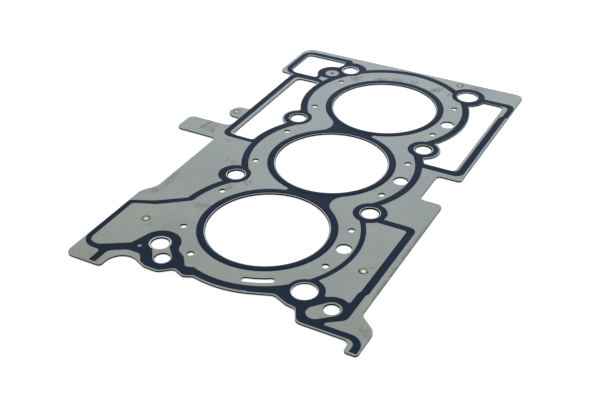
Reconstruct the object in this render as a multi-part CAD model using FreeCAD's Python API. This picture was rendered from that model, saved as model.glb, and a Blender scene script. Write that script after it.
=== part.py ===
"""Cylinder head gasket of a three-cylinder inline engine, built from layered steel sheets.

The gasket lies flat. +X runs along the row of cylinders, +Y across it and +Z up. The origin is
the centre of the middle cylinder bore, at half the height of the stack. Lengths are millimetres.
"""
import FreeCAD
import Part
import math
import os

# Row of cylinders
bore_pitch = 86.0
bore_radius = 37.5

# Steel sheets, which lie close together, and the print on top of them
outer_sheet = 0.25
middle_sheet = 0.5
print_thickness = 0.05

# Bead that lifts the print round each bore
bead_radius = 40.3
bead_height = 0.15

# Straight sides that stand in for a circle where like holes, rims and eyelets repeat. A polygon
# this fine lies within about 0.2 mm of its circle.
small_hole_sides = 12
hole_sides = 13
rim_sides = 16

# Head bolts, in two rows of four
bolt_row = 48.3
bolt_hole_radius = 5.5
dowel_hole_radius = 7.4

# Coolant holes, from the centre of the bore that they stand beside
small_coolant_radius = 2.0
upper_coolant = (22.0, 45.9)
lower_coolant = (21.1, -46.2)
side_coolant_hole = (-43.2, 26.7)
metering_hole = (-17.4, -48.2)
large_coolant_radius = 4.6
large_coolant_row = 50.3
large_coolant_pitch = 83.1
large_coolant_shift = -0.6
slot_radius = 51.2
slot_half_width = 2.1
slot_start = 195.4
slot_end = 212.3

# Oil holes, from the left bore, and pin hole, from the right bore
oil_hole = (-49.9, -68.5)
oil_hole_radius = 4.5
feed_hole = (-54.5, 38.8)
feed_hole_radius = 4.7
pin_hole = (31.8, 58.7)
pin_hole_radius = 1.0

# Outer edge: heights from the bore line, ends from the end bores, the rest from the middle bore
left_end = 77.2
right_end = 63.3
end_radius = 63.1
top_edge = 85.8
top_edge_left = 92.3
top_edge_right = 97.0
top_slope = (-87.6, -78.6)
right_step = 16.5
bottom_edge = 85.1
foot_bottom = 96.6
foot_top = 88.3
foot_slope = (-46.6, -55.9)
right_corner = 6.0
left_waist = 68.3
waist_bottom = 56.0
left_shoulder = 66.4
shoulder_start = 56.0
tab_left = -9.2
tab_right = 10.2
tab_top = 118.6
ear_left = 23.1
ear_right = 37.7
ear_top = 97.3
ear_corner = 7.2
notch_left = -14.4
notch_right = 16.2
notch_top = 69.1
corner = 4.5

# Outer edge up the left side: x from the left bore, y and the corner's radius
left_side = [
    (-58.6, -50.6, 3.0), (-57.9, -44.6, 6.0), (-53.8, -35.0, 5.0), (-64.76, -6.29, end_radius),
    (-60.8, 13.6, 1.5), (-63.5, 19.0, 4.0), (-60.2, 27.0, 3.0), (-66.4, 34.2, 5.0),
    (-66.3, 43.8, 6.0),
]

# Windows over the chain case and the oil returns
window_land = 61.5
window_boss = 11.5
window_boss_gap = 1.2
window_bend = 2.0
window_corner = 3.5
window_left = 0.8
window_right = 12.0
window_top = 78.3
window_floor = 40.0
long_window_corner = 4.0
low_window_left = 26.2
low_window_right = 39.9
low_window_bottom = 77.2
low_window_step = (23.0, 26.5)
low_window_boss = 13.8
tall_window_left = 20.3
tall_window_right = 53.0
tall_window_top = 90.0
tall_window_bottom = 56.8
tall_window_step = (31.8, 66.8)
tall_window_corner = 7.0
tall_window_boss = 10.0

# Frames printed round the long and low windows: their left ends from the middle bore, their right
# ends and the low frame's step from the right bore
long_frame = (-2.9, 17.0)
low_frame = (20.9, 45.2)
low_frame_step = (23.5, 26.5)
low_frame_drop = 1.2
frame_floor = 50.0

# Gaps between the windows and the print round them
print_margin = 0.35
long_gap = (1.8, 2.8)
low_gap = (0.54, 1.82)
tall_gap = (1.35, 0.7)

# Printed seal: rings, tracks and discs
ring_inner = 38.0
ring_outer = 42.95
web_fillet = 11.0
web_end = 10.0
field_radius = 55.5
end_field_radius = 56.3
field_neck = (9.0, 39.5)
track_outer = 60.2
end_track_outer = 61.1
boss_radius = 10.8
boss_lift = 1.1
end_boss_radius = 12.6
dowel_track = (2.0, 1.1)
rim = 1.2
end_rim = 1.5
oil_rim = 1.4
feed_rim = 0.9
feed_neck = 4.7
pin_rim = 5.2
left_margin = 1.2
bare_dot = (-50.9, 57.5)
bare_dot_radius = 1.2

# Bare area that runs on from the bare oil hole rim: its far end, from the left bore, and radius
oil_tail = (-56.5, -62.0)
oil_tail_radius = 5.3

# Corners of printed and bare areas: x from the bore that the name ends in, y and corner radius
field_left = [
    (-60.6, 88.3, 5.5), (-16.0, 88.3, 2.5), (-10.2, 73.9, 12.0), (3.2, 56.9, 2.5),
    (7.0, 54.5, 0.0), (0.0, 30.0, 0.0), (-32.0, 40.0, 0.0), (-43.4, 50.0, 0.0),
    (-39.6, 60.4, 0.0), (-50.6, 63.8, 0.0), (-60.6, 79.8, 4.0),
]
lobe_left = [
    (-43.4, 48.3, 0.0), (-33.8, 40.1, 0.0), (-44.2, 34.3, 6.0), (-47.8, 28.3, 5.0),
    (-54.6, 23.2, 1.5), (-74.0, 23.2, 0.0), (-74.0, 60.0, 0.0), (-57.0, 60.0, 0.0),
]
tall_frame_right = [
    (16.6, 94.9, 11.0), (58.8, 94.9, 8.5), (58.8, 54.6, 3.0), (53.0, 50.0, 0.0),
    (14.0, 50.0, 0.0), (14.0, 80.0, 0.0), (16.6, 80.0, 0.0),
]
upper_loop_left = [
    (-13.9, 92.0, 3.0), (-7.3, 77.3, 12.0), (8.0, 57.1, 0.0), (0.0, 0.0, 0.0),
    (-59.5, 12.0, 0.0), (-70.0, 20.0, 0.0), (-70.0, 43.5, 0.0), (-57.2, 52.5, 5.0),
    (-57.2, 61.5, 6.0), (-63.5, 71.2, 4.0), (-75.5, 71.2, 0.0), (-75.5, 75.8, 0.0),
    (-64.9, 75.8, 2.0), (-64.9, 92.0, 11.0),
]
lower_loop_left = [
    (0.0, 0.0, 0.0), (-58.0, -20.0, 0.0), (-66.0, -45.0, 0.0), (-67.3, -50.0, 0.0),
    (-67.3, -91.2, 4.5), (-75.8, -91.2, 0.0), (-75.8, -95.6, 0.0), (-63.2, -95.6, 9.0),
    (-63.2, -70.6, 0.0), (-61.3, -70.6, 0.0), (-54.3, -79.9, 6.0), (-31.0, -79.9, 0.0),
    (-29.0, -81.0, 0.0), (40.3, -81.0, 5.0), (40.3, -59.0, 0.0), (43.0, -48.0, 0.0),
]
bulge_left = [
    (-54.6, 30.0, 0.0), (-54.6, 20.6, 1.5), (-52.0, 15.0, 0.0), (-45.0, 20.0, 0.0),
    (-45.0, 30.0, 0.0),
]
oil_return_left = [
    (-42.0, -75.2, 0.0), (-31.0, -75.2, 0.0), (-28.5, -76.1, 0.0), (35.6, -76.1, 2.0),
    (35.6, -45.0, 0.0), (-42.0, -45.0, 0.0),
]
pin_gap_right = [
    (18.6, 64.0, 0.0), (22.8, 64.0, 0.0), (22.8, 57.4, 0.0), (16.6, 59.0, 0.0),
]

# Oil return's bare area, from the print beside it: the track, the dowel's disc and the oil hole
return_track = 0.6
return_boss = 0.8
return_oil_land = 10.6
return_bend = 1.3

# Eyelets that hold the sheets together, one in the ear and the others from the end bores
eyelet_bore = 1.4
eyelet_shank = 1.7
eyelet_crown = 1.9
eyelet_flange = 2.9
eyelet_stand = 0.25
ear_eyelet_height = 92.3
right_eyelet = (58.3, -36.7)
upper_eyelet = (-25.9, 70.8)
lower_eyelet = (-11.5, -69.3)


def beside(bore, offset):
    """Return the place at an (x, y) offset from a bore on the bore line."""
    return bore + offset[0], offset[1]


left = -bore_pitch
right = bore_pitch
bores = [(left, 0.0), (0.0, 0.0), (right, 0.0)]
bolt_columns = [k * bore_pitch for k in (-1.5, -0.5, 0.5, 1.5)]
inner_bolts = [(x, y) for x in bolt_columns[1:3] for y in (bolt_row, -bolt_row)]
end_bolts = [(bolt_columns[0], bolt_row), (bolt_columns[3], bolt_row)]
dowels = [(bolt_columns[0], -bolt_row), (bolt_columns[3], -bolt_row)]
oil_centre = beside(left, oil_hole)
feed_centre = beside(left, feed_hole)
pin_centre = beside(right, pin_hole)
stack_height = 2 * outer_sheet + middle_sheet
stack_top = stack_height / 2
print_bosses = [(x, y + boss_lift * (y > 0)) for x, y in inner_bolts]
eyelets = [((ear_left + ear_right) / 2, ear_eyelet_height), beside(right, right_eyelet),
           beside(left, upper_eyelet), beside(left, lower_eyelet)]


def point(x, y, z=0.0):
    """Return a vector."""
    return FreeCAD.Vector(x, y, z)


def disc(centre, radius, sides=0):
    """Return a round face in the plane z = 0, or one of many straight sides."""
    if not sides:
        circle = Part.Circle(point(*centre), point(0, 0, 1), radius)
        return Part.Face(Part.Wire(circle.toShape()))
    turns = [2 * math.pi * k / sides for k in range(sides)]
    corners = [point(centre[0] + radius * math.cos(turn), centre[1] + radius * math.sin(turn))
               for turn in turns]
    return Part.Face(Part.makePolygon(corners + corners[:1]))


def discs(centres, radius, sides=0):
    """Return a disc at each centre."""
    return [disc(centre, radius, sides) for centre in centres]


def rounded(corners, shift=0.0):
    """Return a face whose outline joins (x, y, radius) corners, moved along X by shift."""
    count = len(corners)
    ends = []
    for i, (x, y, radius) in enumerate(corners):
        here = point(x, y)
        back = (point(*corners[i - 1][:2]) - here).normalize()
        ahead = (point(*corners[(i + 1) % count][:2]) - here).normalize()
        half = back.getAngle(ahead) / 2
        reach = radius / math.tan(half) if radius else 0.0
        middle = here
        if radius:
            middle = here + (back + ahead).normalize() * (radius / math.sin(half) - radius)
        ends.append((here + back * reach, middle, here + ahead * reach))
    edges = []
    for i, (start, middle, stop) in enumerate(ends):
        following = ends[(i + 1) % count][0]
        if start.distanceToPoint(stop) > 1e-6:
            edges.append(Part.Arc(start, middle, stop).toShape())
        if stop.distanceToPoint(following) > 1e-6:
            edges.append(Part.LineSegment(stop, following).toShape())
    face = Part.Face(Part.Wire(edges))
    face.translate(point(shift, 0))
    return face


def box(x0, y0, x1, y1):
    """Return a rectangular face."""
    return rounded([(x0, y0, 0), (x1, y0, 0), (x1, y1, 0), (x0, y1, 0)])


def slab(shape, height=1.0):
    """Return a face, or each face of a shape, raised from the plane z = 0 to a height."""
    return shape.extrude(point(0, 0, height))


def floor(solid):
    """Return the faces that lie on top of a slab of unit height, lowered to the plane z = 0."""
    flat = [face.copy() for face in solid.Faces if face.BoundBox.ZMin > 1 - 1e-6]
    for face in flat:
        face.translate(point(0, 0, -1))
    return flat[0] if len(flat) == 1 else Part.makeCompound(flat)


def union(faces):
    """Return several coplanar faces joined into one."""
    slabs = [slab(face) for face in faces]
    return floor(slabs[0].fuse(slabs[1:]).removeSplitter())


def without(face, holes):
    """Return a face less the area of several others."""
    return floor(slab(face).cut([slab(hole) for hole in holes]))


def hull(centre_a, radius_a, centre_b, radius_b):
    """Return the face that a belt round two discs encloses."""
    a = point(*centre_a)
    b = point(*centre_b)
    along = b - a
    lean = math.acos((radius_a - radius_b) / along.Length)
    base = math.atan2(along.y, along.x)
    rays = [point(math.cos(base + s * lean), math.sin(base + s * lean)) for s in (1, -1)]
    belt = [a + rays[0] * radius_a, b + rays[0] * radius_b, b + rays[1] * radius_b,
            a + rays[1] * radius_a]
    between = Part.Face(Part.makePolygon(belt + belt[:1]))
    return union([disc(centre_a, radius_a), disc(centre_b, radius_b), between])


def outline():
    """Return the outer shape of every sheet, without its holes."""
    start = left - left_end
    stop = right + right_end
    waist = left - left_waist
    top = [
        (start, top_edge_left, 5.5), (top_slope[0], top_edge_left, 10.0),
        (top_slope[1], top_edge, 10.0), (tab_left, top_edge, 3.0), (tab_left, tab_top, corner),
        (tab_right, tab_top, corner), (tab_right, top_edge, corner), (ear_left, top_edge, 1.5),
        (ear_left, ear_top, ear_corner), (ear_right, ear_top, ear_corner),
        (ear_right, top_edge, 1.5), (right + right_step, top_edge, 1.5),
        (right + right_step, top_edge_right, 5.0), (stop, top_edge_right, 9.0),
    ]
    bottom = [
        (stop, -bottom_edge, right_corner), (notch_right, -bottom_edge, 2.5),
        (notch_right, -notch_top, 3.0), (notch_left, -notch_top, 3.0),
        (notch_left, -bottom_edge, 4.0), (left + foot_slope[0], -bottom_edge, 6.0),
        (left + foot_slope[1], -foot_bottom, 8.0), (start, -foot_bottom, 2.0),
        (start, -foot_top, 2.5), (waist, -foot_top, 4.0), (waist, -waist_bottom, 5.0),
    ]
    side = [(left + x, y, bend) for x, y, bend in left_side]
    shoulder = [(left - shoulder_start, left_shoulder, 10.5), (start, left_shoulder, 2.5)]
    return rounded(top + bottom + side + shoulder)


def opening(corners, shift, keep, bend=window_bend):
    """Return a window: a rounded shape, less the discs that it keeps clear of, with soft corners."""
    rest = without(rounded(corners, shift), keep)
    largest = max(rest.Faces, key=lambda face: face.Area)
    return largest.makeOffset2D(-bend).makeOffset2D(bend)


def windows(printed=False):
    """Return the three windows, or, if printed, the wider areas round them that take no print."""
    def gap(size):
        return size if printed else 0.0

    margin = gap(print_margin)
    keep = discs(bores, window_land - margin) + discs(inner_bolts, window_boss - gap(window_boss_gap))
    stop = right + window_right + gap(long_gap[0])
    top = window_top + gap(long_gap[1])
    long_window = opening([
        (window_left, top, long_window_corner), (stop, top, long_window_corner),
        (stop, window_floor, 0.0), (window_left, window_floor, 0.0),
    ], 0.0, keep)
    stop = right + low_window_right + gap(low_gap[0])
    bottom = -low_window_bottom - gap(low_gap[1])
    low_window = opening([
        (low_window_left, bottom, window_corner), (right + low_window_step[0], bottom, 0.0),
        (right + low_window_step[1], bottom - gap(low_gap[1]), 0.0),
        (stop, bottom - gap(low_gap[1]), window_corner),
        (stop, -window_floor, 0.0), (low_window_left, -window_floor, 0.0),
    ], 0.0, keep + [disc(dowels[1], low_window_boss - margin)])
    start = tall_window_left - margin
    stop = tall_window_right + gap(tall_gap[0])
    top = tall_window_top + gap(tall_gap[1])
    step_x, step_y = tall_window_step
    tall_window = opening([
        (start, top, tall_window_corner), (stop, top, window_corner),
        (stop, tall_window_bottom, window_corner), (step_x, tall_window_bottom, 0.0),
        (step_x, step_y, 0.0), (start, step_y, 0.0),
    ], right, [disc(pin_centre, window_boss - margin), disc(end_bolts[1], tall_window_boss - margin)])
    return [long_window, low_window, tall_window]


def slot():
    """Return the arc slot, which follows the left bore."""
    def spot(radius, angle):
        turn = math.radians(angle)
        return point(left + radius * math.cos(turn), radius * math.sin(turn))

    inner = slot_radius - slot_half_width
    outer = slot_radius + slot_half_width
    middle = (slot_start + slot_end) / 2
    lead = math.degrees(slot_half_width / slot_radius)
    edges = [
        Part.Arc(spot(outer, slot_start), spot(outer, middle), spot(outer, slot_end)),
        Part.Arc(spot(outer, slot_end), spot(slot_radius, slot_end + lead), spot(inner, slot_end)),
        Part.Arc(spot(inner, slot_end), spot(inner, middle), spot(inner, slot_start)),
        Part.Arc(spot(inner, slot_start), spot(slot_radius, slot_start - lead), spot(outer, slot_start)),
    ]
    return Part.Face(Part.Wire([edge.toShape() for edge in edges]))


def coolant_holes():
    """Return the small and large coolant holes and the slot."""
    small = [(x + side * offset, row) for x, _ in bores for side in (-1, 1)
             for offset, row in (upper_coolant, lower_coolant)]
    small.remove((left - lower_coolant[0], lower_coolant[1]))
    small += [beside(left, metering_hole), beside(left, side_coolant_hole)]
    large = [(k * large_coolant_pitch + large_coolant_shift, -large_coolant_row) for k in (-1, 0, 1)]
    return (discs(small, small_coolant_radius, small_hole_sides)
            + discs(large, large_coolant_radius, hole_sides) + [slot()])


def sheet():
    """Return the shape that every steel sheet is cut to."""
    holes = windows() + coolant_holes()
    holes += discs(bores, bore_radius)
    holes += discs(inner_bolts + end_bolts, bolt_hole_radius)
    holes += discs(dowels, dowel_hole_radius)
    holes.append(disc(oil_centre, oil_hole_radius, hole_sides))
    holes.append(disc(feed_centre, feed_hole_radius, hole_sides))
    holes.append(disc(pin_centre, pin_hole_radius, small_hole_sides))
    holes += discs(eyelets, eyelet_shank, small_hole_sides)
    return without(outline(), holes)


def web(x, side):
    """Return the printed web between two rings, filleted on one side and ending square."""
    reach = math.sqrt((ring_outer + web_fillet) ** 2 - (bore_pitch / 2) ** 2)
    share = ring_outer / (ring_outer + web_fillet)
    half = bore_pitch / 2 * (1 - share)
    low, high = sorted((side * reach * share, -side * web_end))
    return without(box(x - half, low, x + half, high), [disc((x, side * reach), web_fillet)])


def coolant_field():
    """Return the bare field round the printed rings, where the coolant holes stand."""
    neck, row = field_neck
    fields = discs([bores[0], bores[2]], end_field_radius) + [disc(bores[1], field_radius)]
    fields += [box(x - neck, -row, x + neck, row) for x in bolt_columns[1:3]]
    fields += [rounded(field_left, left), rounded(bulge_left, left)]
    rings = discs(bores, ring_outer) + [web(bolt_columns[1], -1), web(bolt_columns[2], 1)]
    bosses = discs(print_bosses, boss_radius)
    bosses += [disc(end_bolts[0], end_boss_radius), disc(end_bolts[1], tall_window_boss)]
    bosses += [disc(centre, end_boss_radius - inset) for centre, inset in zip(dowels, dowel_track)]
    return without(union(fields), [union(rings), rounded(lobe_left, left)] + bosses)


def oil_return():
    """Return the bare area over the oil return, below the left bore."""
    keep = [disc(bores[0], track_outer - return_track), disc(bores[1], track_outer),
            disc(inner_bolts[1], boss_radius), disc(dowels[0], end_boss_radius - return_boss),
            disc(oil_centre, return_oil_land)]
    return opening(oil_return_left, left, keep, return_bend)


def rims():
    """Return the rims that are left bare round the holes."""
    bare = discs(bores, ring_inner)
    bare += discs(inner_bolts, bolt_hole_radius + rim, rim_sides)
    bare += discs(end_bolts, bolt_hole_radius + end_rim, rim_sides)
    bare += discs(dowels, dowel_hole_radius + rim, rim_sides)
    bare.append(hull(beside(left, oil_tail), oil_tail_radius, oil_centre, oil_hole_radius + oil_rim))
    bare.append(hull(feed_centre, feed_hole_radius + feed_rim, end_bolts[0], feed_neck))
    bare.append(disc(pin_centre, pin_rim, rim_sides))
    bare.append(disc(beside(left, bare_dot), bare_dot_radius, small_hole_sides))
    bare.append(rounded(pin_gap_right, right))
    return bare


def frames():
    """Return the printed areas that frame the three windows."""
    start, stop = long_frame[0], right + long_frame[1]
    top = top_edge - print_margin
    long_area = rounded([
        (start, top, 7.0), (stop, top, 4.0), (stop, frame_floor, 0.0), (start, frame_floor, 0.0),
    ])
    start, stop = low_frame[0], right + low_frame[1]
    bottom = print_margin - bottom_edge
    shallow = bottom + low_frame_drop
    low_area = rounded([
        (start, shallow, 6.0), (right + low_frame_step[0], shallow, 0.0),
        (right + low_frame_step[1], bottom, 0.0), (stop, bottom, 6.0),
        (stop, -frame_floor, 0.0), (start, -frame_floor, 0.0),
    ])
    return [long_area, low_area, rounded(tall_frame_right, right)]


def seal():
    """Return the printed pattern as slabs: rings, coolant track, discs and frames."""
    marks = discs([bores[0], bores[2]], end_track_outer) + [disc(bores[1], track_outer)]
    marks += discs(print_bosses, boss_radius)
    marks += discs(end_bolts + dowels, end_boss_radius)
    marks += frames() + [rounded(upper_loop_left, left), rounded(lower_loop_left, left)]
    bare = [coolant_field(), oil_return()] + windows(printed=True) + rims()
    inside = outline().makeOffset2D(-print_margin)
    indented = outline()
    indented.translate(point(left_margin, 0))
    return slab(without(union(marks), bare)).common(slab(inside)).common(slab(indented))


def raised(flat, low, high):
    """Return a flat shape in the plane z = 0 as solids between two heights."""
    flat.translate(point(0, 0, low))
    return flat.extrude(point(0, 0, high - low))


def bead(centre, base):
    """Return the ridge that the bead round a bore makes in the print."""
    profile = [point(ring_inner, 0, base), point(ring_outer, 0, base),
               point(bead_radius, 0, base + bead_height)]
    ridge = Part.Face(Part.makePolygon(profile + profile[:1])).revolve(point(0, 0), point(0, 0, 1), 360)
    ridge.translate(point(*centre))
    return ridge


def eyelet(centre):
    """Return a rolled eyelet, which grips the sheets between its two flanges."""
    tip = stack_top + eyelet_stand

    def ring(radius, height):
        wire = disc(centre, radius, small_hole_sides).OuterWire
        wire.translate(point(0, 0, height))
        return wire

    def barrel(radius_low, low, radius_high, high):
        return Part.makeLoft([ring(radius_low, low), ring(radius_high, high)], True, True)

    shank = barrel(eyelet_shank, -stack_top, eyelet_shank, stack_top)
    lower = barrel(eyelet_crown, -tip, eyelet_flange, -stack_top)
    upper = barrel(eyelet_flange, stack_top, eyelet_crown, tip)
    bore = barrel(eyelet_bore, -tip, eyelet_bore, tip)
    return shank.fuse([lower, upper]).cut(bore).removeSplitter()


def main():
    """Build each node and write it to the parts folder."""
    print_top = stack_top + print_thickness
    coat = raised(floor(seal()), stack_top, print_top)
    nodes = {
        "steel_sheets": raised(sheet(), -stack_top, stack_top),
        "printed_seal": coat.fuse([bead(centre, print_top) for centre in bores]),
        "eyelets": Part.makeCompound([eyelet(centre) for centre in eyelets]),
    }
    os.makedirs("parts", exist_ok=True)
    for name, shape in nodes.items():
        shape.exportStep(f"parts/{name}.step")
        print(name, shape.isValid(), len(shape.Solids), round(shape.Volume, 2))


if __name__ == "__main__":
    main()
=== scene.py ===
"""Finish of a cylinder head gasket: steel sheets, printed seal and rolled eyelets.

The gasket lies flat in its own frame: +X along the row of cylinders, +Y across it and +Z up.
Lengths are in metres. Holes, stains, the heights of the sheets and every name that ends in _mm or
_MM are in millimetres. Angles are in degrees.
"""
import logging
import math
from dataclasses import dataclass
from enum import Enum

import bmesh
import bpy
from mathutils import Matrix, Vector


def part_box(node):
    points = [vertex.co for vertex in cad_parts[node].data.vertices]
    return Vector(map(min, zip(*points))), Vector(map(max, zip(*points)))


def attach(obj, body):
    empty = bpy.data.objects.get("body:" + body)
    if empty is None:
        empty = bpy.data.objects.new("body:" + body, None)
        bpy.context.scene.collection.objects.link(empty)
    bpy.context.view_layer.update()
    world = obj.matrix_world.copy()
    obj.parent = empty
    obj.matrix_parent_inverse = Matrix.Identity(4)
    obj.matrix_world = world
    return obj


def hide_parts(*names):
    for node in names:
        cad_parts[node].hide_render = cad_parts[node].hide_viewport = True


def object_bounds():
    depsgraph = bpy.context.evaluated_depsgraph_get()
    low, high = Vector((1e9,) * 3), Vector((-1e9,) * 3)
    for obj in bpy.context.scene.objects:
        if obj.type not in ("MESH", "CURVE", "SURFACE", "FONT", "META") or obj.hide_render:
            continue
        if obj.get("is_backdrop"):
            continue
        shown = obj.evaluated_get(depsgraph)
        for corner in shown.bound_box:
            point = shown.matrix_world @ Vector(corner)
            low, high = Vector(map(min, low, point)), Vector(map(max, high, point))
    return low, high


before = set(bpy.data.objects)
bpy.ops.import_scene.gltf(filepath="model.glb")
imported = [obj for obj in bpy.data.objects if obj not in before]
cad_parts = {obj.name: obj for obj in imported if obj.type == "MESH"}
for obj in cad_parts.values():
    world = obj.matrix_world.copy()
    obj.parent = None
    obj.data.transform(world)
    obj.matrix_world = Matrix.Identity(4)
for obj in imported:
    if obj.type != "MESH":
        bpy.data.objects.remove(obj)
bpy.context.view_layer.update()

Colour = tuple[float, float, float]
Point = tuple[float, float, float]
Place = tuple[float, float]
Span = tuple[float, float]

LOG = logging.getLogger("gasket")
MM = 0.001
BODY = "root"
WHITE: Colour = (1.0, 1.0, 1.0)

# Distances that the mesh work goes by, in metres
MERGE_GAP = 1e-6
SLIVER = 2e-6
EDGE_LAP = 1e-5
PUNCH_LENGTH = 0.004

# Straight sides that make up each round thing
PUNCH_SIDES = 128
SECTION_SIDES = 20
BEAD_SIDES = 160
EYELET_SIDES = 48

# Where the bores and bolts stand
BORES_MM = (-86.0, 0.0, 86.0)
BOLTS_MM = (-43.0, 43.0)
ENDS_MM = (-129.0, 129.0)
ROW_MM = 48.3

# Sockets of a Mix node that blends colours
MIX_FACTOR, MIX_FIRST, MIX_SECOND, MIX_RESULT = 0, 6, 7, 2


class Sheet(Enum):
    """The steel sheets of the stack, each with the heights of its two faces in millimetres."""

    UPPER = (0.25, 0.50)
    MIDDLE = (-0.23, 0.22)
    LOWER = (-0.50, -0.26)


# Shader building


@dataclass
class Tree:
    """A node tree that is built by adding nodes and joining their sockets."""

    nodes: bpy.types.Nodes
    links: bpy.types.NodeLinks

    def add(self, kind: str, **settings: object) -> bpy.types.Node:
        """Add a node.

        Args:
            kind: The type of node.
            **settings: Properties of the node.

        Returns:
            The new node.
        """
        node = self.nodes.new(kind)
        for name, value in settings.items():
            setattr(node, name, value)
        return node

    def join(self, source: bpy.types.NodeSocket, target: bpy.types.NodeSocket) -> None:
        """Link one socket to another."""
        self.links.new(source, target)

    def feed(self, target: bpy.types.NodeSocket, value: object) -> None:
        """Give an input its value.

        Args:
            target: The input.
            value: A socket to link to it, or a plain value.
        """
        if isinstance(value, bpy.types.NodeSocket):
            self.join(value, target)
        else:
            target.default_value = value

    def math(self, operation: str, *values: object) -> bpy.types.NodeSocket:
        """Add a Math node.

        Args:
            operation: The node's operation.
            *values: Its inputs, each a socket or a number.

        Returns:
            The result's socket.
        """
        node = self.add("ShaderNodeMath", operation=operation)
        for target, value in zip(node.inputs, values):
            self.feed(target, value)
        return node.outputs[0]

    def ramp(self, value: bpy.types.NodeSocket, span: Span) -> bpy.types.NodeSocket:
        """Add a smooth step.

        Args:
            value: The value to step.
            span: The values at which the step is 0 and 1.

        Returns:
            The step's socket.
        """
        node = self.add("ShaderNodeMapRange", interpolation_type="SMOOTHSTEP")
        self.join(value, node.inputs["Value"])
        node.inputs["From Min"].default_value, node.inputs["From Max"].default_value = span
        return node.outputs["Result"]

    def mix(self, factor: bpy.types.NodeSocket, first: object,
            second: object) -> bpy.types.NodeSocket:
        """Blend two colours.

        Args:
            factor: 0 for the first colour, 1 for the second.
            first: A colour or a colour socket.
            second: A colour or a colour socket.

        Returns:
            The blend's socket.
        """
        node = self.add("ShaderNodeMix", data_type="RGBA")
        self.join(factor, node.inputs[MIX_FACTOR])
        self.feed(node.inputs[MIX_FIRST], rgba(first))
        self.feed(node.inputs[MIX_SECOND], rgba(second))
        return node.outputs[MIX_RESULT]

    def noise(self, place: bpy.types.NodeSocket, scale: bpy.types.NodeSocket,
              detail: float) -> bpy.types.NodeSocket:
        """Add a noise.

        Args:
            place: Where it is read.
            scale: How fine it is.
            detail: How many finer layers lie in it.

        Returns:
            The socket of its value, between 0 and 1.
        """
        node = self.add("ShaderNodeTexNoise")
        self.join(place, node.inputs["Vector"])
        self.join(scale, node.inputs["Scale"])
        node.inputs["Detail"].default_value = detail
        return node.outputs[0]

    def flattened(self, place: bpy.types.NodeSocket) -> bpy.types.NodeSocket:
        """Take the height away from a vector.

        Args:
            place: The vector.

        Returns:
            The socket of the flat vector.
        """
        node = self.add("ShaderNodeVectorMath", operation="MULTIPLY")
        self.join(place, node.inputs[0])
        node.inputs[1].default_value = (1.0, 1.0, 0.0)
        return node.outputs["Vector"]

    def vector(self, *parts: object) -> bpy.types.NodeSocket:
        """Put a vector together.

        Args:
            *parts: Its three parts, each a socket or a number.

        Returns:
            The vector's socket.
        """
        node = self.add("ShaderNodeCombineXYZ")
        for target, value in zip(node.inputs, parts):
            self.feed(target, value)
        return node.outputs[0]


def rgba(colour: object) -> object:
    """Make a colour ready for a node's input.

    Args:
        colour: A colour or a colour socket.

    Returns:
        The colour with an alpha of 1, or the socket as it is.
    """
    if isinstance(colour, bpy.types.NodeSocket):
        return colour
    return (*colour, 1.0)


def shade(red: int, green: int, blue: int) -> Colour:
    """Turn a display colour into a linear one, by the formula of the display's own curve.

    Args:
        red: The red channel, from 0 to 255.
        green: The green channel.
        blue: The blue channel.

    Returns:
        The linear colour.
    """
    def linear(channel: int) -> float:
        """Return one channel without its display curve."""
        part = channel / 255
        return part / 12.92 if part <= 0.04045 else ((part + 0.055) / 1.055) ** 2.4

    return (linear(red), linear(green), linear(blue))


def plan_point(x_mm: float, y_mm: float) -> Point:
    """Return the point at height 0 that a place in millimetres stands for."""
    return (x_mm * MM, y_mm * MM, 0.0)


def new_group(name: str, inputs: dict[str, str], outputs: dict[str, str]) -> bpy.types.NodeTree:
    """Make an empty shader group.

    Args:
        name: The group's name.
        inputs: Socket type for each input's name.
        outputs: Socket type for each output's name.

    Returns:
        The group's node tree, with its input and output nodes in place.
    """
    group = bpy.data.node_groups.new(name, "ShaderNodeTree")
    for label, kind in inputs.items():
        group.interface.new_socket(label, in_out="INPUT", socket_type=kind)
    for label, kind in outputs.items():
        group.interface.new_socket(label, in_out="OUTPUT", socket_type=kind)
    group.nodes.new("NodeGroupInput")
    group.nodes.new("NodeGroupOutput")
    return group


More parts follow.
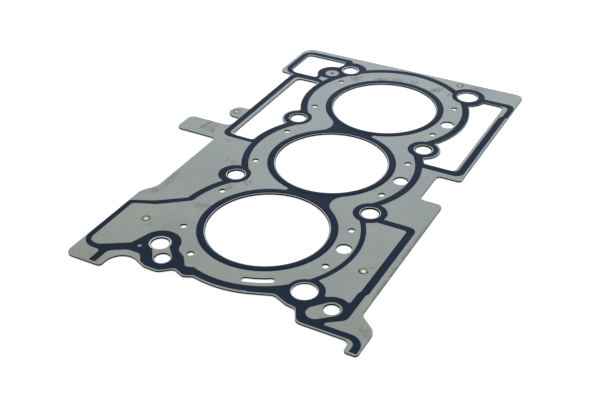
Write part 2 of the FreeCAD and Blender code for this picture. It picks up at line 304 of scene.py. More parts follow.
class Effects:
    """Shader groups that more than one material uses."""

    PATCH_DETAIL = 4.0
    GRAIN_DETAIL = 2.0
    BLOTCH_DETAIL = 5.0
    RAGGEDNESS = 1.2
    STAIN_EDGE: Span = (1.6, 1.0)
    SPECKLE: Span = (0.66, 0.44)
    WALL_TILT: Span = (0.7, 0.3)
    RIM_EDGE: Span = (-0.0001, 0.0001)

    def __init__(self) -> None:
        """Build each group once."""
        self.mottle = self.build_mottle()
        self.stain = self.build_stain()
        self.side = self.build_side()
        self.rim = self.build_rim()

    def build_mottle(self) -> bpy.types.NodeTree:
        """Build a group that varies a surface in soft patches with a fine grain in them.

        Returns:
            The group.
        """
        group = new_group(
            "mottle",
            {"Scale": "NodeSocketFloat", "Grain": "NodeSocketFloat", "Share": "NodeSocketFloat"},
            {"Value": "NodeSocketFloat"},
        )
        tree = Tree(group.nodes, group.links)
        given = group.nodes["Group Input"].outputs
        place = tree.add("ShaderNodeTexCoord").outputs["Object"]
        patches = tree.noise(place, given["Scale"], self.PATCH_DETAIL)
        grain = tree.noise(place, given["Grain"], self.GRAIN_DETAIL)
        spread = tree.math("SUBTRACT", grain, patches)
        value = tree.math("MULTIPLY_ADD", spread, given["Share"], patches)
        tree.join(value, group.nodes["Group Output"].inputs["Value"])
        return group

    def build_stain(self) -> bpy.types.NodeTree:
        """Build a group that masks one blotched, oval stain.

        Returns:
            The group.
        """
        group = new_group(
            "stain",
            {"Centre": "NodeSocketVector", "Turn": "NodeSocketVector", "Reach": "NodeSocketVector",
             "Grain": "NodeSocketFloat"},
            {"Mask": "NodeSocketFloat"},
        )
        tree = Tree(group.nodes, group.links)
        given = group.nodes["Group Input"].outputs
        place = tree.add("ShaderNodeTexCoord").outputs["Object"]
        mapping = tree.add("ShaderNodeMapping", vector_type="TEXTURE")
        tree.join(place, mapping.inputs["Vector"])
        tree.join(given["Centre"], mapping.inputs["Location"])
        tree.join(given["Turn"], mapping.inputs["Rotation"])
        tree.join(given["Reach"], mapping.inputs["Scale"])
        length = tree.add("ShaderNodeVectorMath", operation="LENGTH")
        tree.join(tree.flattened(mapping.outputs["Vector"]), length.inputs[0])
        blotch = tree.noise(place, given["Grain"], self.BLOTCH_DETAIL)
        ragged = tree.math("MULTIPLY_ADD", blotch, self.RAGGEDNESS, length.outputs["Value"])
        inside = tree.ramp(ragged, self.STAIN_EDGE)
        speckle = tree.ramp(blotch, self.SPECKLE)
        mask = tree.math("MULTIPLY", inside, speckle)
        tree.join(mask, group.nodes["Group Output"].inputs["Mask"])
        return group

    def build_side(self) -> bpy.types.NodeTree:
        """Build a group that is 1 on upright walls and 0 on faces that lie flat.

        Returns:
            The group.
        """
        group = new_group("upright_wall", {}, {"Mask": "NodeSocketFloat"})
        tree = Tree(group.nodes, group.links)
        split = tree.add("ShaderNodeSeparateXYZ")
        tree.join(tree.add("ShaderNodeNewGeometry").outputs["True Normal"], split.inputs[0])
        level = tree.math("ABSOLUTE", split.outputs["Z"])
        mask = tree.ramp(level, self.WALL_TILT)
        tree.join(mask, group.nodes["Group Output"].inputs["Mask"])
        return group

    def build_rim(self) -> bpy.types.NodeTree:
        """Build a group that masks the disc round one hole.

        Returns:
            The group.
        """
        group = new_group(
            "rim",
            {"Centre": "NodeSocketVector", "Radius": "NodeSocketFloat"},
            {"Mask": "NodeSocketFloat"},
        )
        tree = Tree(group.nodes, group.links)
        given = group.nodes["Group Input"].outputs
        gap = tree.add("ShaderNodeVectorMath", operation="DISTANCE")
        place = tree.add("ShaderNodeTexCoord").outputs["Object"]
        tree.join(tree.flattened(place), gap.inputs[0])
        tree.join(given["Centre"], gap.inputs[1])
        inside = tree.math("SUBTRACT", given["Radius"], gap.outputs["Value"])
        mask = tree.ramp(inside, self.RIM_EDGE)
        tree.join(mask, group.nodes["Group Output"].inputs["Mask"])
        return group


def place_group(tree: Tree, group: bpy.types.NodeTree, **values: object) -> bpy.types.NodeSocket:
    """Place a shader group in a material.

    Args:
        tree: The material's tree.
        group: The group to place.
        **values: The group's inputs by name.

    Returns:
        The socket of the group's one output.
    """
    node = tree.add("ShaderNodeGroup", node_tree=group)
    for name, value in values.items():
        tree.feed(node.inputs[name], value)
    return node.outputs[0]


def new_material(name: str) -> tuple[bpy.types.Material, Tree, bpy.types.Node]:
    """Make a material.

    Args:
        name: The material's name.

    Returns:
        The material, its tree and its Principled BSDF.
    """
    material = bpy.data.materials.new(name)
    material.use_nodes = True
    tree = Tree(material.node_tree.nodes, material.node_tree.links)
    return material, tree, material.node_tree.nodes["Principled BSDF"]


@dataclass(frozen=True)
class Mottle:
    """How fine a surface's patches and grain are, and the grain's share in them."""

    scale: float
    grain: float
    share: float

    def place(self, tree: Tree, effects: Effects) -> bpy.types.NodeSocket:
        """Return the value of these patches in a material."""
        return place_group(tree, effects.mottle, Scale=self.scale, Grain=self.grain,
                           Share=self.share)


@dataclass(frozen=True)
class Relief:
    """Fine bumps of a surface, whose height is in metres."""

    pattern: Mottle
    strength: float
    height: float

    def place(self, tree: Tree, effects: Effects, surface: bpy.types.Node) -> None:
        """Put the bumps on a surface.

        Args:
            tree: The material's tree.
            effects: The shared shader groups.
            surface: The material's Principled BSDF.
        """
        bump = tree.add("ShaderNodeBump")
        bump.inputs["Strength"].default_value = self.strength
        bump.inputs["Distance"].default_value = self.height
        tree.join(self.pattern.place(tree, effects), bump.inputs["Height"])
        tree.join(bump.outputs["Normal"], surface.inputs["Normal"])


@dataclass(frozen=True)
class Hole:
    """A round hole in millimetres.

    The upper sheet or the print may end short of it, and show a ledge of what lies under it.
    """

    x: float
    y: float
    radius: float
    ledge: float = 0.0


@dataclass(frozen=True)
class Stain:
    """A brown stain on the upper sheet, in millimetres and degrees."""

    centre: Place
    reach: Place
    turn: float
    strength: float
    grain: float = 420.0


@dataclass(frozen=True)
class SteelFinish:
    """Matt sheet steel with a coat, a greenish cast and old stains, painted shade on its upright
    walls and a painted highlight on the bare rims round its holes.
    """

    light: Colour = shade(167, 173, 164)
    dark: Colour = shade(155, 161, 152)
    # Pale rim colour: bare steel round the holes, lightened further as a painted highlight.
    paler: Colour = shade(222, 223, 218)
    # Near black painted shade for the upright walls, which lie in shade; the middle sheet uses it
    # too.
    painted_shade_black: Colour = shade(5, 4, 4)
    # Near black of the middle sheet: partly its dark coating, partly painted shade where it lies
    # under the upper sheet.
    coating_and_shade: Colour = shade(16, 15, 14)
    brown: Colour = shade(128, 119, 99)
    clouds: Mottle = Mottle(22.0, 900.0, 0.35)
    cloud_span: Span = (0.36, 0.64)
    relief: Relief = Relief(Mottle(180.0, 2600.0, 0.7), 0.05, 0.0002)
    roughness: float = 0.42
    roughness_spread: float = 0.16
    metallic: float = 0.25
    gloss: float = 0.3
    rims: tuple[Hole, ...] = (
        *(Hole(x, 0.0, 38.4) for x in BORES_MM),
        *(Hole(x, y, 6.7) for x in BOLTS_MM for y in (-ROW_MM, ROW_MM)),
        *(Hole(x, ROW_MM, 6.5) for x in ENDS_MM),
        *(Hole(x, -ROW_MM, 8.1) for x in ENDS_MM),
    )
    stains: tuple[Stain, ...] = (
        Stain((4.2, 101.5), (9.0, 1.1), -14.0, 1.0, 160.0),
        Stain((2.0, 101.6), (5.0, 1.8), -14.0, 0.7, 300.0),
        Stain((3.0, 96.5), (9.0, 5.0), -15.0, 0.35, 900.0),
        Stain((-1.4, 92.8), (3.0, 1.6), 0.0, 1.0),
        Stain((-66.0, 82.8), (13.0, 3.4), 8.0, 0.55, 1100.0),
        Stain((-83.0, 84.5), (5.0, 3.5), 0.0, 0.6, 700.0),
        Stain((-85.0, 47.5), (5.0, 7.0), 0.0, 0.4, 150.0),
        Stain((-30.5, 63.5), (2.8, 1.5), 0.0, 0.75, 700.0),
        Stain((-31.0, 57.0), (3.0, 4.0), 0.0, 0.5),
        Stain((-8.0, 76.0), (3.0, 5.0), 0.0, 0.5),
        Stain((-57.5, 45.0), (5.0, 4.0), 20.0, 0.6),
        Stain((-47.5, 36.5), (5.0, 3.4), 30.0, 0.6),
        Stain((118.5, 38.5), (8.0, 5.0), -30.0, 0.9),
        Stain((125.5, 20.6), (3.4, 6.0), 25.0, 0.9),
        Stain((131.0, 9.0), (3.4, 6.5), 15.0, 0.7),
        Stain((132.0, -3.5), (4.0, 5.0), 0.0, 0.6),
        Stain((129.0, -24.0), (7.0, 4.4), -35.0, 0.9),
        Stain((125.6, -35.0), (3.2, 3.4), 0.0, 0.8),
        Stain((144.5, -50.0), (4.0, 6.5), 0.0, 0.7),
        Stain((-115.8, 65.0), (2.8, 1.4), 0.0, 0.5),
        Stain((-92.7, -72.8), (3.2, 1.0), -61.5, 0.6),
        Stain((-75.0, -84.6), (66.0, 1.7), 0.0, 0.55, 110.0),
        Stain((-145.0, -92.0), (6.0, 4.0), 30.0, 0.5),
    )

    def make(self, name: str, effects: Effects, sheet: Sheet) -> bpy.types.Material:
        """Build the material.

        Args:
            name: The material's name.
            effects: The shared shader groups.
            sheet: The sheet. The upper one is stained and has a painted highlight on its bare rims,
                and the middle one is dark, as coating and painted shade.

        Returns:
            The material.
        """
        material, tree, surface = new_material(name)
        cloud = self.clouds.place(tree, effects)
        upper, inner = sheet is Sheet.UPPER, sheet is Sheet.MIDDLE
        # The middle sheet is near black all over, partly its dark coating and partly painted shade.
        first, second = (self.painted_shade_black, self.coating_and_shade) if inner else (self.dark, self.light)
        colour = tree.mix(tree.ramp(cloud, self.cloud_span), first, second)
        if upper:
            colour = self.stained(tree, effects, self.rimmed(tree, effects, colour))
        # Painted shade: upright walls are coloured near black because they lie in shade, and they
        # lose the upper sheet's metal sheen.
        shaded_wall = place_group(tree, effects.side)
        tree.join(tree.mix(shaded_wall, colour, self.painted_shade_black), surface.inputs["Base Color"])
        if upper:
            bare = tree.math("MULTIPLY_ADD", shaded_wall, -self.metallic, self.metallic)
            tree.join(bare, surface.inputs["Metallic"])
        surface.inputs["Specular IOR Level"].default_value = self.gloss if upper else 0.0
        rough = tree.math("MULTIPLY_ADD", cloud, self.roughness_spread, self.roughness)
        tree.join(rough, surface.inputs["Roughness"])
        self.relief.place(tree, effects, surface)
        return material

    def rimmed(self, tree: Tree, effects: Effects,
               colour: bpy.types.NodeSocket) -> bpy.types.NodeSocket:
        """Lighten a colour on the bare rims of the bores and bolt holes, partly bare steel and
        partly painted highlight.

        Args:
            tree: The material's tree.
            effects: The shared shader groups.
            colour: The colour between the rims.

        Returns:
            The socket of the new colour.
        """
        masks = [place_group(tree, effects.rim, Centre=plan_point(hole.x, hole.y),
                             Radius=hole.radius * MM) for hole in self.rims]
        rims = masks[0]
        for mask in masks[1:]:
            rims = tree.math("MAXIMUM", rims, mask)
        return tree.mix(rims, colour, self.paler)

    def stained(self, tree: Tree, effects: Effects,
                colour: bpy.types.NodeSocket) -> bpy.types.NodeSocket:
        """Lay every stain over a colour.

        Args:
            tree: The material's tree.
            effects: The shared shader groups.
            colour: The colour of the clean sheet.

        Returns:
            The socket of the new colour.
        """
        for stain in self.stains:
            mask = place_group(
                tree, effects.stain, Grain=stain.grain, Centre=plan_point(*stain.centre),
                Turn=(0.0, 0.0, math.radians(stain.turn)),
                Reach=(stain.reach[0] * MM, stain.reach[1] * MM, 1.0),
            )
            colour = tree.mix(tree.math("MULTIPLY", mask, stain.strength), colour, self.brown)
        return colour


@dataclass(frozen=True)
class PrintFinish:
    """Navy elastomer print, with a dull sheen and the faint texture of its screen."""

    deep: Colour = shade(13, 32, 50)
    faded: Colour = shade(20, 42, 66)
    clouds: Mottle = Mottle(35.0, 1200.0, 0.4)
    cloud_span: Span = (0.35, 0.68)
    screen: Relief = Relief(Mottle(700.0, 3500.0, 0.6), 0.12, 0.0001)
    roughness: float = 0.56
    roughness_spread: float = 0.12
    gloss: float = 0.12

    def make(self, name: str, effects: Effects) -> bpy.types.Material:
        """Build the material.

        Args:
            name: The material's name.
            effects: The shared shader groups.

        Returns:
            The material.
        """
        material, tree, surface = new_material(name)
        paler = tree.ramp(self.clouds.place(tree, effects), self.cloud_span)
        tree.join(tree.mix(paler, self.deep, self.faded), surface.inputs["Base Color"])
        rough = tree.math("MULTIPLY_ADD", paler, self.roughness_spread, self.roughness)
        tree.join(rough, surface.inputs["Roughness"])
        surface.inputs["Specular IOR Level"].default_value = self.gloss
        self.screen.place(tree, effects, surface)
        return material


@dataclass(frozen=True)
class BrassFinish:
    """Olive brass of the eyelets, darker where it is tarnished."""

    bright: Colour = shade(196, 192, 128)
    tarnish: Colour = shade(70, 72, 40)
    metallic: float = 0.45
    clouds: Mottle = Mottle(420.0, 2400.0, 0.4)
    cloud_span: Span = (0.46, 0.66)
    roughness: float = 0.42
    roughness_spread: float = -0.12

    def make(self, name: str, effects: Effects) -> bpy.types.Material:
        """Build the material.

        Args:
            name: The material's name.
            effects: The shared shader groups.

        Returns:
            The material.
        """
        material, tree, surface = new_material(name)
        clean = tree.ramp(self.clouds.place(tree, effects), self.cloud_span)
        tree.join(tree.mix(clean, self.tarnish, self.bright), surface.inputs["Base Color"])
        surface.inputs["Metallic"].default_value = self.metallic
        rough = tree.math("MULTIPLY_ADD", clean, self.roughness_spread, self.roughness)
        tree.join(rough, surface.inputs["Roughness"])
        return material


# Meshes


def outward(mesh: bpy.types.Mesh) -> None:
    """Turn a closed mesh's faces outwards.

    Args:
        mesh: The mesh, which is changed in place.
    """
    work = bmesh.new()
    work.from_mesh(mesh)
    bmesh.ops.recalc_face_normals(work, faces=work.faces)
    work.to_mesh(mesh)
    work.free()


def joined_copy(node: str, name: str) -> bpy.types.Object:
    """Copy a node, with its loose triangles merged and flat.

    Args:
        node: The node's name.
        name: The new object's name.

    Returns:
        The copy, linked to the scene.
    """
    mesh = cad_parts[node].data.copy()
    mesh.name = name
    mesh.materials.clear()
    work = bmesh.new()
    work.from_mesh(mesh)
    bmesh.ops.remove_doubles(work, verts=work.verts, dist=MERGE_GAP)
    work.to_mesh(mesh)
    work.free()
    if "custom_normal" in mesh.attributes:
        mesh.attributes.remove(mesh.attributes["custom_normal"])
    mesh.shade_flat()
    piece = bpy.data.objects.new(name, mesh)
    bpy.context.scene.collection.objects.link(piece)
    return piece


def draw_in(mesh: bpy.types.Mesh, hole: Hole) -> None:
    """Move the edge of a many-sided hole by the hole's ledge.

    Args:
        mesh: The mesh, which is changed in place.
        hole: The hole.
    """
    centre = Vector((hole.x * MM, hole.y * MM))
    for vertex in mesh.vertices:
        arm = vertex.co.xy - centre
        if abs(arm.length - hole.radius * MM) < EDGE_LAP:
            vertex.co.xy = centre + arm * (1.0 + hole.ledge / hole.radius)


def mend_slivers(mesh: bpy.types.Mesh) -> int:
    """Merge points that a cut left all but together, and drop the faces of no area.

    Args:
        mesh: The mesh, which is changed in place.

    Returns:
        How many edges don't lie between two faces. A closed mesh has none.
    """
    work = bmesh.new()
    work.from_mesh(mesh)
    bmesh.ops.remove_doubles(work, verts=work.verts, dist=SLIVER)
    bmesh.ops.dissolve_degenerate(work, edges=work.edges, dist=SLIVER)
    bmesh.ops.triangulate(work, faces=work.faces)
    bmesh.ops.dissolve_degenerate(work, edges=work.edges, dist=SLIVER)
    open_edges = sum(not edge.is_manifold for edge in work.edges)
    work.to_mesh(mesh)
    work.free()
    return open_edges


def punch(piece: bpy.types.Object, holes: tuple[Hole, ...], ledges: float,
          material: bpy.types.Material) -> None:
    """Punch round holes through a piece.

    Args:
        piece: The piece, whose holes have straight sides so far.
        holes: The holes.
        ledges: Share of each hole's ledge that is cut away.
        material: Material of the holes' walls.
    """
    mesh = bpy.data.meshes.new("punches")
    mesh.from_pydata([plan_point(hole.x, hole.y) for hole in holes], [], [])
    radii = mesh.attributes.new("radius", "FLOAT", "POINT")
    radii.data.foreach_set("value", [(hole.radius + hole.ledge * ledges) * MM + EDGE_LAP
                                     for hole in holes])
    tool = grown("punches", mesh, punch_tree(material), {"Length": PUNCH_LENGTH})
    modifier = piece.modifiers.new("punch", "BOOLEAN")
    modifier.operation = "DIFFERENCE"
    modifier.solver = "EXACT"
    modifier.object = tool
    graph = bpy.context.evaluated_depsgraph_get()
    result = bpy.data.meshes.new_from_object(piece.evaluated_get(graph))
    result.name = piece.name
    open_edges = mend_slivers(result)
    LOG.info("%s: %d open edges", piece.name, open_edges)
    result.shade_flat()
    piece.modifiers.clear()
    piece.data = result
    bpy.data.objects.remove(tool)


def settle(piece: bpy.types.Object, node: str) -> None:
    """Let a piece ride on the body and stand for a node.

    Args:
        piece: The piece.
        node: The node's name.
    """
    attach(piece, BODY)
    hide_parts(node)
    LOG.info("%s: %d faces", piece.name, len(piece.data.polygons))


@dataclass
class SheetStack:
    """The three steel sheets, which stand a little apart where their beads hold them off.

    The holes are the bores, the inner and end bolts, the dowels, the small coolant holes, the pin,
    the large coolant holes and the oil holes, in this order.
    """

    effects: Effects
    finish: SteelFinish = SteelFinish()
    holes: tuple[Hole, ...] = (
        *(Hole(x, 0.0, 37.5, 0.35) for x in BORES_MM),
        *(Hole(x, y, 5.5, 0.6) for x in BOLTS_MM for y in (-ROW_MM, ROW_MM)),
        *(Hole(x, ROW_MM, 5.5, 0.3) for x in ENDS_MM),
        *(Hole(x, -ROW_MM, 7.4, 0.05) for x in ENDS_MM),
        *(Hole(bore + side, 45.9, 2.0, 0.2) for bore in BORES_MM for side in (-22.0, 22.0)),
        *(Hole(x, -46.2, 2.0, 0.2) for x in (-64.9, -21.1, 21.1, 64.9, 107.1)),
        Hole(-103.4, -48.2, 2.0, 0.2),
        Hole(-129.2, 26.7, 2.0, 0.2),
        Hole(117.8, 58.7, 1.0, 0.2),
        *(Hole(x, -50.3, 4.6, 0.2) for x in (-83.7, -0.6, 82.5)),
        Hole(-135.9, -68.5, 4.5, 0.2),
        Hole(-140.5, 38.8, 4.7, 0.2),
    )

    def build(self) -> list[bpy.types.Object]:
        """Return the three sheets, from the top down."""
        return [self.build_sheet(sheet) for sheet in Sheet]

    def build_sheet(self, sheet: Sheet) -> bpy.types.Object:
        """Make one sheet out of the stack's own outline.

        Args:
            sheet: Which sheet it is. Only the upper one ends short of the holes.

        Returns:
            The sheet.
        """
        low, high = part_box("steel_sheets")
        bottom, top = (height * MM for height in sheet.value)
        name = f"{sheet.name.lower()}_sheet"
        piece = joined_copy("steel_sheets", name)
        for vertex in piece.data.vertices:
            share = (vertex.co.z - low.z) / (high.z - low.z)
            vertex.co.z = bottom + share * (top - bottom)
        material = self.finish.make(name, self.effects, sheet)
        piece.data.materials.append(material)
        punch(piece, self.holes, 1.0 if sheet is Sheet.UPPER else 0.0, material)
        settle(piece, "steel_sheets")
        return piece


@dataclass
class PrintedSeal:
    """The flat print and the rounded beads that stand up from it round the bores.

    The holes are the print's edges at the bores, the inner bolts, the dowels, the right end bolt and
    the pin, in this order.
    """

    effects: Effects
    finish: PrintFinish = PrintFinish()
    thickness_mm: float = 0.05
    bead_radius_mm: float = 40.3
    bead_width_mm: float = 3.0
    holes: tuple[Hole, ...] = (
        *(Hole(x, 0.0, 38.0, 0.3) for x in BORES_MM),
        *(Hole(x, y, 6.7, -0.1) for x in BOLTS_MM for y in (-ROW_MM, ROW_MM)),
        *(Hole(x, -ROW_MM, 8.6, -0.7) for x in ENDS_MM),
        Hole(129.0, ROW_MM, 7.0, -0.2),
        Hole(117.8, 58.7, 5.2),
    )

    def build(self) -> list[bpy.types.Object]:
        """Return the flat print and the beads."""
        material = self.finish.make("navy_print", self.effects)
        return [self.build_print(material), self.build_beads(material)]

    def top(self) -> float:
        """Return the height of the print's flat top."""
        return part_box("steel_sheets")[1].z + self.thickness_mm * MM

    def build_print(self, material: bpy.types.Material) -> bpy.types.Object:
        """Make the flat part of the print.

        Args:
            material: The print's material.

        Returns:
            The print.
        """
        piece = joined_copy("printed_seal", "flat_print")
        top = self.top()
        for vertex in piece.data.vertices:
            vertex.co.z = min(vertex.co.z, top)
        for hole in self.holes:
            draw_in(piece.data, hole)
        piece.data.materials.append(material)
        punch(piece, self.holes, 1.0, material)
        settle(piece, "printed_seal")
        return piece

    def build_beads(self, material: bpy.types.Material) -> bpy.types.Object:
        """Sweep the beads round the bores.

        Args:
            material: The print's material.

        Returns:
            The beads.
        """
        top = self.top()
        mesh = bpy.data.meshes.new("bore_beads")
        mesh.from_pydata([(x * MM, 0.0, top) for x in BORES_MM], [], [])
        sizes = {"Radius": self.bead_radius_mm * MM, "Width": self.bead_width_mm * MM,
                 "Height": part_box("printed_seal")[1].z - top}
        piece = grown("bore_beads", mesh, ring_tree(material, BEAD_SIDES), sizes)
        settle(piece, "printed_seal")
        return piece


@dataclass
class Eyelets:
    """Rolled brass eyelets that hold the sheets together, their throats near white as a painted
    reflection.
    """

    effects: Effects
    rim: BrassFinish = BrassFinish()
    # Throat colour: brass painted near white and not metallic, as a painted reflection of the white
    # ground.
    throat_brass_and_reflection: BrassFinish = BrassFinish(shade(250, 248, 232), shade(232, 228, 200), 0.0)
    bore_mm: float = 1.4
    crown_mm: float = 1.8
    flange_mm: float = 2.9

    def centres(self) -> list[Vector]:
        """Find the centre of each eyelet from the node's separate solids.

        Returns:
            The centres, from left to right.
        """
        work = bmesh.new()
        work.from_mesh(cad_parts["eyelets"].data)
        bmesh.ops.remove_doubles(work, verts=work.verts, dist=MERGE_GAP)
        left = set(work.verts)
        found = []
        while left:
            island, front = set(), [left.pop()]
            while front:
                vertex = front.pop()
                island.add(vertex)
                near = [link.other_vert(vertex) for link in vertex.link_edges]
                front += [other for other in near if other in left]
                left.difference_update(near)
            spots = [vertex.co for vertex in island]
            low = Vector(map(min, zip(*spots)))
            high = Vector(map(max, zip(*spots)))
            found.append((low + high) / 2)
        work.free()
        return sorted(found, key=lambda spot: spot.x)

    def build(self) -> list[bpy.types.Object]:
        """Make the eyelets.

        Returns:
            The rolled rims and the bright throats.
        """
        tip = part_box("eyelets")[1].z
        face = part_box("steel_sheets")[1].z
        rims = self.build_rings("eyelet_rims", self.rim, (self.crown_mm, self.flange_mm),
                                tip - face, (face, -face))
        throats = self.build_rings("eyelet_throats", self.throat_brass_and_reflection, (self.bore_mm, self.crown_mm),
                                   (tip + face) / 2, (0.0,))
        return [rims, throats]

    def build_rings(self, name: str, finish: BrassFinish, radii_mm: Span, half_height: float,
                    levels: tuple[float, ...]) -> bpy.types.Object:
        """Make the same oval rings on every eyelet.

        Args:
            name: Name of the piece and of its material.
            finish: The rings' finish.
            radii_mm: The rings' inner and outer radius.
            half_height: Half of the rings' height.
            levels: Height of each ring's middle over the eyelet's own middle.

        Returns:
            The piece.
        """
        inner, outer = radii_mm
        mesh = bpy.data.meshes.new(name)
        mesh.from_pydata([(spot.x, spot.y, spot.z + level) for spot in self.centres()
                          for level in levels], [], [])
        sizes = {"Radius": (inner + outer) / 2 * MM, "Width": (outer - inner) * MM,
                 "Height": half_height}
        material = finish.make(name, self.effects)
        piece = grown(name, mesh, ring_tree(material, EYELET_SIDES), sizes)
        settle(piece, "eyelets")
        return piece


# Geometry Nodes


def new_geometry(name: str, sizes: list[str]) -> tuple[bpy.types.NodeTree, Tree]:
    """Make a geometry tree with a length input for each named size.

    Args:
        name: The tree's name.
        sizes: Names of its sizes.

    Returns:
        The group and its builder.
    """
    group = bpy.data.node_groups.new(name, "GeometryNodeTree")
    group.interface.new_socket("Geometry", in_out="INPUT", socket_type="NodeSocketGeometry")
    for size in sizes:
        group.interface.new_socket(size, in_out="INPUT", socket_type="NodeSocketFloat")
    group.interface.new_socket("Geometry", in_out="OUTPUT", socket_type="NodeSocketGeometry")
    group.nodes.new("NodeGroupInput")
    group.nodes.new("NodeGroupOutput")
    return group, Tree(group.nodes, group.links)


def close_geometry(tree: Tree, group: bpy.types.NodeTree, shape: bpy.types.NodeSocket,
                   material: bpy.types.Material, scale: bpy.types.NodeSocket | None = None) -> None:
    """Put a shape on each point of the input, then end the tree with plain, dressed geometry.

    Args:
        tree: The tree's builder.
        group: The tree.
        shape: The mesh to repeat.
        material: The material that the result takes.
        scale: The shape's scale at each point, if it differs.
    """
    given = group.nodes["Group Input"].outputs
    repeat = tree.add("GeometryNodeInstanceOnPoints")
    tree.join(given["Geometry"], repeat.inputs["Points"])
    tree.join(shape, repeat.inputs["Instance"])
    if scale:
        tree.join(scale, repeat.inputs["Scale"])
    real = tree.add("GeometryNodeRealizeInstances")
    tree.join(repeat.outputs[0], real.inputs[0])
    dress = tree.add("GeometryNodeSetMaterial")
    tree.join(real.outputs[0], dress.inputs["Geometry"])
    dress.inputs["Material"].default_value = material
    tree.join(dress.outputs[0], group.nodes["Group Output"].inputs[0])


def circle_path(tree: Tree, radius: object, sides: int) -> bpy.types.NodeSocket:
    """Draw a round path about the Z axis.

    Args:
        tree: The tree's builder.
        radius: Its radius, a socket or a number.
        sides: How many straight sides it has.

    Returns:
        The path's socket.
    """
    path = tree.add("GeometryNodeCurvePrimitiveCircle")
    path.inputs["Resolution"].default_value = sides
    tree.feed(path.inputs["Radius"], radius)
    return path.outputs["Curve"]


def scaled(tree: Tree, geometry: bpy.types.NodeSocket,
           scale: bpy.types.NodeSocket) -> bpy.types.NodeSocket:
    """Scale a geometry.

    Args:
        tree: The tree's builder.
        geometry: The geometry.
        scale: Its scale along each axis.

    Returns:
        The socket of the scaled geometry.
    """
    node = tree.add("GeometryNodeTransform")
    tree.join(geometry, node.inputs["Geometry"])
    tree.join(scale, node.inputs["Scale"])
    return node.outputs[0]


def swept(tree: Tree, path: bpy.types.NodeSocket,
          profile: bpy.types.NodeSocket) -> bpy.types.NodeSocket:
    """Sweep a closed profile along a path.

    Args:
        tree: The tree's builder.
        path: The path.
        profile: The profile.

    Returns:
        The socket of the smooth mesh.
    """
    sweep = tree.add("GeometryNodeCurveToMesh")
    tree.join(path, sweep.inputs["Curve"])
    tree.join(profile, sweep.inputs["Profile Curve"])
    smooth = tree.add("GeometryNodeSetShadeSmooth")
    tree.join(sweep.outputs[0], smooth.inputs["Geometry"])
    return smooth.outputs[0]


def ring_tree(material: bpy.types.Material, sides: int) -> bpy.types.NodeTree:
    """Build the tree that puts a ring of oval section round each point.

    Args:
        material: The rings' material.
        sides: How many straight sides the ring's path has.

    Returns:
        The tree. Its sizes are the path's radius, and the width and half height of the section.
    """
    group, tree = new_geometry("ring", ["Radius", "Width", "Height"])
    given = group.nodes["Group Input"].outputs
    half_width = tree.math("MULTIPLY", given["Width"], 0.5)
    section = scaled(tree, circle_path(tree, 1.0, SECTION_SIDES),
                     tree.vector(half_width, given["Height"], 1.0))
    ring = swept(tree, circle_path(tree, given["Radius"], sides), section)
    close_geometry(tree, group, ring, material)
    return group


def punch_tree(material: bpy.types.Material) -> bpy.types.NodeTree:
    """Build the tree that puts a round punch on each point, with the point's own radius.

    Args:
        material: Material of the walls that the punches leave.

    Returns:
        The tree. Its size is the punches' length.
    """
    group, tree = new_geometry("punches", ["Length"])
    given = group.nodes["Group Input"].outputs
    rod = tree.add("GeometryNodeMeshCylinder")
    rod.inputs["Vertices"].default_value = PUNCH_SIDES
    rod.inputs["Radius"].default_value = 1.0
    tree.join(given["Length"], rod.inputs["Depth"])
    own = tree.add("GeometryNodeInputNamedAttribute", data_type="FLOAT")
    own.inputs["Name"].default_value = "radius"
    radius = own.outputs["Attribute"]
    close_geometry(tree, group, rod.outputs["Mesh"], material, tree.vector(radius, radius, 1.0))
    return group


def grown(name: str, mesh: bpy.types.Mesh, group: bpy.types.NodeTree,
          sizes: dict[str, float]) -> bpy.types.Object:
    """Run a geometry tree on a mesh and keep its result as a plain mesh.

    Args:
        name: Name of the piece.
        mesh: The points that the tree works on.
        group: The geometry tree.
        sizes: The tree's sizes by name.

    Returns:
        The finished piece, linked to the scene.
    """
    source = bpy.data.objects.new(f"{name}_points", mesh)
    bpy.context.scene.collection.objects.link(source)
    modifier = source.modifiers.new(name, "NODES")
    modifier.node_group = group
    for item in group.interface.items_tree:
        if item.in_out == "INPUT" and item.name in sizes:
            modifier[item.identifier] = sizes[item.name]
    graph = bpy.context.evaluated_depsgraph_get()
    result = bpy.data.meshes.new_from_object(source.evaluated_get(graph))
    result.name = name
    bpy.data.objects.remove(source)
    outward(result)
    piece = bpy.data.objects.new(name, result)
    bpy.context.scene.collection.objects.link(piece)
    return piece


# Studio


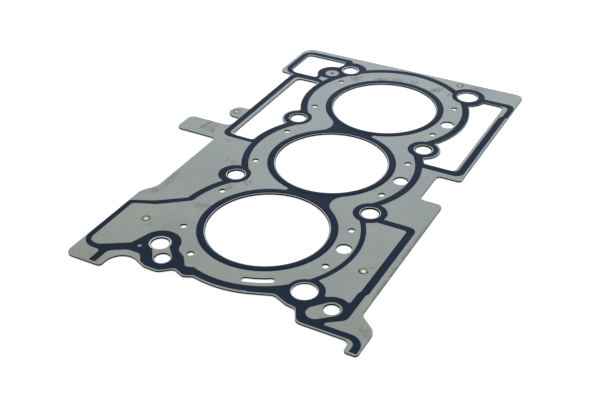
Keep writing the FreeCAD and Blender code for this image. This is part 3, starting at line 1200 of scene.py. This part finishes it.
@dataclass(frozen=True)
class Studio:
    """A white ground, soft light and the camera."""

    azimuth: float = -61.492
    elevation: float = 33.722
    roll: float = -0.444
    distance: float = 0.61858
    near_clip: float = 0.01
    aim_mm: Place = (-50.407, -3.222)
    lens_mm: float = 59.055
    sky: float = 0.66
    sky_colour: Colour = (1.0, 0.985, 0.92)
    lamp_place: Point = (1.008, 0.407, 0.507)
    lamp_size: float = 0.9
    lamp_power: float = 4.8
    lamp_colour: Colour = (0.52, 0.64, 1.0)
    ground_reach: float = 6.0
    ground_colour: Colour = (0.86, 0.88, 0.93)
    ground_roughness: float = 0.9
    ground_glow: float = 0.55

    def build(self) -> None:
        """Set the view, the light, the ground and the camera."""
        scene = bpy.context.scene
        scene.view_settings.view_transform = "Standard"
        self.light_world(scene)
        self.lay_ground(scene)
        self.hang_lamp(scene)
        self.set_camera(scene)

    def light_world(self, scene: bpy.types.Scene) -> None:
        """Give the world a soft light, and white where the camera sees it.

        Args:
            scene: The scene.
        """
        world = bpy.data.worlds.new("studio")
        scene.world = world
        world.use_nodes = True
        tree = Tree(world.node_tree.nodes, world.node_tree.links)
        backdrop = world.node_tree.nodes["Background"]
        path = tree.add("ShaderNodeLightPath")
        seen = tree.math("MAXIMUM", path.outputs["Is Camera Ray"],
                         path.outputs["Is Transmission Ray"])
        tree.join(tree.mix(seen, self.sky_colour, WHITE), backdrop.inputs["Color"])
        strength = tree.math("MULTIPLY_ADD", seen, 1.0 - self.sky, self.sky)
        tree.join(strength, backdrop.inputs["Strength"])

    def lay_ground(self, scene: bpy.types.Scene) -> None:
        """Lay a white ground under the gasket's lowest point.

        Args:
            scene: The scene.
        """
        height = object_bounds()[0].z
        reach = self.ground_reach
        mesh = bpy.data.meshes.new("ground")
        corners = [(-reach, -reach), (reach, -reach), (reach, reach), (-reach, reach)]
        mesh.from_pydata([(x, y, height) for x, y in corners], [], [(0, 1, 2, 3)])
        ground = bpy.data.objects.new("ground", mesh)
        scene.collection.objects.link(ground)
        material, tree, surface = new_material("white_ground")
        surface.inputs["Base Color"].default_value = rgba(self.ground_colour)
        surface.inputs["Roughness"].default_value = self.ground_roughness
        surface.inputs["Emission Color"].default_value = rgba(WHITE)
        path = tree.add("ShaderNodeLightPath")
        seen = tree.math("MAXIMUM", path.outputs["Is Camera Ray"], path.outputs["Is Glossy Ray"])
        glow = tree.math("MULTIPLY", seen, self.ground_glow)
        tree.join(glow, surface.inputs["Emission Strength"])
        mesh.materials.append(material)
        ground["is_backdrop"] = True

    def hang_lamp(self, scene: bpy.types.Scene) -> None:
        """Hang a square lamp that faces the gasket.

        Args:
            scene: The scene.
        """
        lamp = bpy.data.lights.new("far_lamp", "AREA")
        lamp.size = self.lamp_size
        lamp.energy = self.lamp_power
        lamp.color = self.lamp_colour
        holder = bpy.data.objects.new("far_lamp", lamp)
        holder.location = self.lamp_place
        holder.rotation_euler = (-Vector(self.lamp_place)).to_track_quat("-Z", "Y").to_euler()
        scene.collection.objects.link(holder)

    def set_camera(self, scene: bpy.types.Scene) -> None:
        """Place the camera where the photograph was taken.

        Args:
            scene: The scene.
        """
        turn, tilt = math.radians(self.azimuth), math.radians(self.elevation)
        back = Vector((math.sin(turn) * math.cos(tilt), -math.cos(turn) * math.cos(tilt),
                       math.sin(tilt)))
        right = (-back).cross(Vector((0, 0, 1))).normalized()
        up = right.cross(-back)
        lean = math.radians(self.roll)
        across = right * math.cos(lean) + up * math.sin(lean)
        upward = up * math.cos(lean) - right * math.sin(lean)
        aim = Vector((self.aim_mm[0] * MM, self.aim_mm[1] * MM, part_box("steel_sheets")[1].z))
        data = bpy.data.cameras.new("camera")
        data.lens = self.lens_mm
        data.clip_start = self.near_clip
        camera = bpy.data.objects.new("camera", data)
        camera.matrix_world = Matrix.Translation(aim + back * self.distance) @ Matrix(
            (across, upward, back)).transposed().to_4x4()
        scene.collection.objects.link(camera)
        scene.camera = camera


def main() -> None:
    """Build and dress each sub-assembly in turn."""
    logging.basicConfig(level=logging.INFO, format="%(name)s %(message)s")
    effects = Effects()
    SheetStack(effects).build()
    PrintedSeal(effects).build()
    Eyelets(effects).build()
    Studio().build()


if __name__ == "__main__":
    main()
